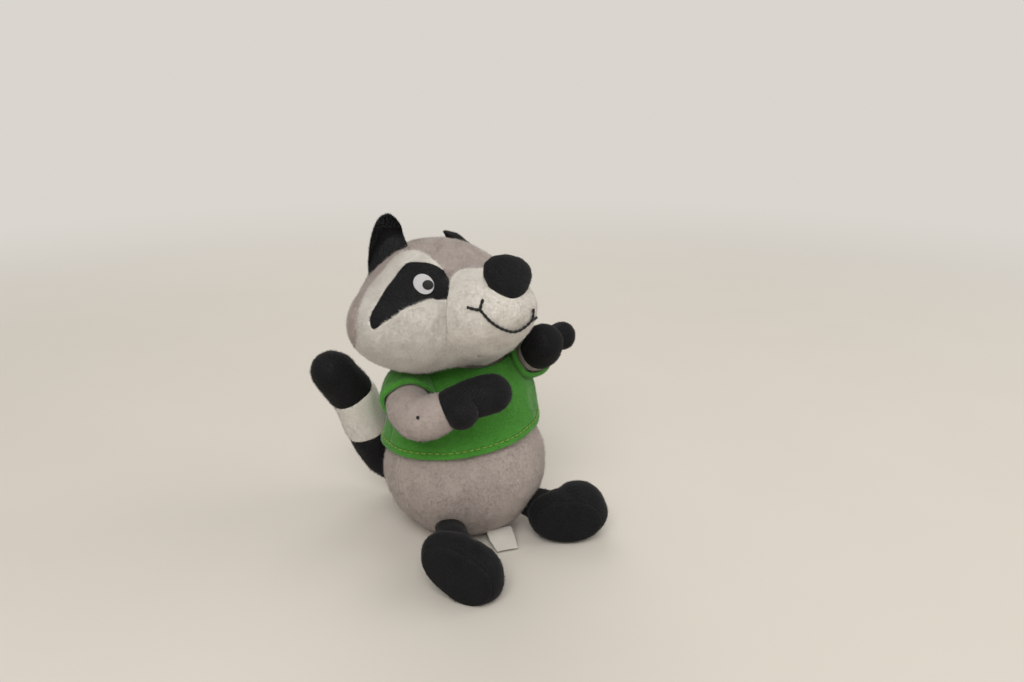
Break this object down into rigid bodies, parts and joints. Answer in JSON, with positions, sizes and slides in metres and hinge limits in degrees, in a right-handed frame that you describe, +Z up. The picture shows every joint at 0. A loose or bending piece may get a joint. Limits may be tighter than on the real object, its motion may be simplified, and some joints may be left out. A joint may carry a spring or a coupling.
{
  "type": "plush raccoon toy",
  "caption": "Small seated plush raccoon in a short green shirt, with a masked face, a ringed tail, one paw across its belly and the other raised beside its chin.",
  "frame": {"origin": "the middle of the flat of the seat, on the surface that the toy sits on", "axes": "+Z is up, the belly faces -Y, and the toy's own left is +X"},
  "size_m": [0.108, 0.1245, 0.1494],
  "materials": {
    "grey_plush": "short light grey pile",
    "white_plush": "short off-white pile",
    "black_plush": "short black pile",
    "black_satin": "smooth black velour",
    "white_thread": "white satin-stitch embroidery",
    "black_thread": "black satin-stitch embroidery",
    "green_knit": "green jersey knit",
    "lime_thread": "yellow-green overlock thread",
    "label_tape": "off-white woven tape, blank",
    "polyester_fibre": "white polyester fibre filling"
  },
  "bodies": {
    "root": {"crown": "grey_plush", "head_back_right": "grey_plush", "head_back_left": "grey_plush", "belly": "grey_plush", "body_back_right": "grey_plush", "body_back_left": "grey_plush", "seat": "grey_plush", "arm_right": "grey_plush", "arm_left": "grey_plush", "muzzle": "white_plush", "face_right": "white_plush", "face_left": "white_plush", "tail_ring_1": "white_plush", "tail_ring_3": "white_plush", "eye_patch_right": "black_plush", "eye_patch_left": "black_plush", "ear_right": "black_plush", "ear_left": "black_plush", "foot_right": "black_plush", "foot_left": "black_plush", "sole_right": "black_plush", "sole_left": "black_plush", "leg_right": "black_plush", "leg_left": "black_plush", "tail_ring_2": "black_plush", "tail_ring_4": "black_plush", "nose": "black_satin", "paw_right": "black_satin", "paw_left": "black_satin", "eye_white_right": "white_thread", "eye_white_left": "white_thread", "pupil_right": "black_thread", "pupil_left": "black_thread", "mouth_stitch": "black_thread", "arm_tack": "black_thread", "shirt_front": "green_knit", "shirt_back": "green_knit", "sleeve_right": "green_knit", "sleeve_left": "green_knit", "hem_stitch": "lime_thread", "care_label": "label_tape", "head_filling": "polyester_fibre", "body_filling": "polyester_fibre"}
  },
  "joints": []
}
